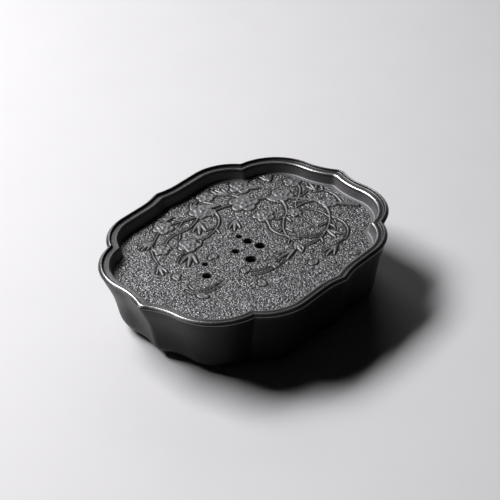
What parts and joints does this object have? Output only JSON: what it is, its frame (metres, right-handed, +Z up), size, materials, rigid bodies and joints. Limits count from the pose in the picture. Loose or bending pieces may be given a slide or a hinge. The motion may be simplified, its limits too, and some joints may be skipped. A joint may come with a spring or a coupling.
{
  "type": "gongfu tea tray",
  "caption": "Flat-floored tea tray with a raised lobed rim and scattered drain holes, lifted off a deep flared water basin of the same outline on rubber feet.",
  "frame": {"origin": "middle of the tray on the ground that the rubber feet stand on", "axes": "+X along the tray's longer side, +Y across it, +Z up"},
  "size_m": [0.2396, 0.1898, 0.0553],
  "materials": {
    "tray_lacquer": "satin black lacquer over cast metal",
    "basin_lacquer": "satin black lacquer over cast metal",
    "foot_rubber": "matt black rubber"
  },
  "bodies": {
    "basin": {"water_basin": "basin_lacquer", "foot_back_right": "foot_rubber", "foot_back_left": "foot_rubber", "foot_front_right": "foot_rubber", "foot_front_left": "foot_rubber"},
    "tray": {"drain_tray": "tray_lacquer"}
  },
  "joints": [
    {"name": "tray_lift", "type": "slide", "parent": "basin", "child": "tray", "axis": [0, 0, 1], "range_m": [0, 0.08]}
  ]
}
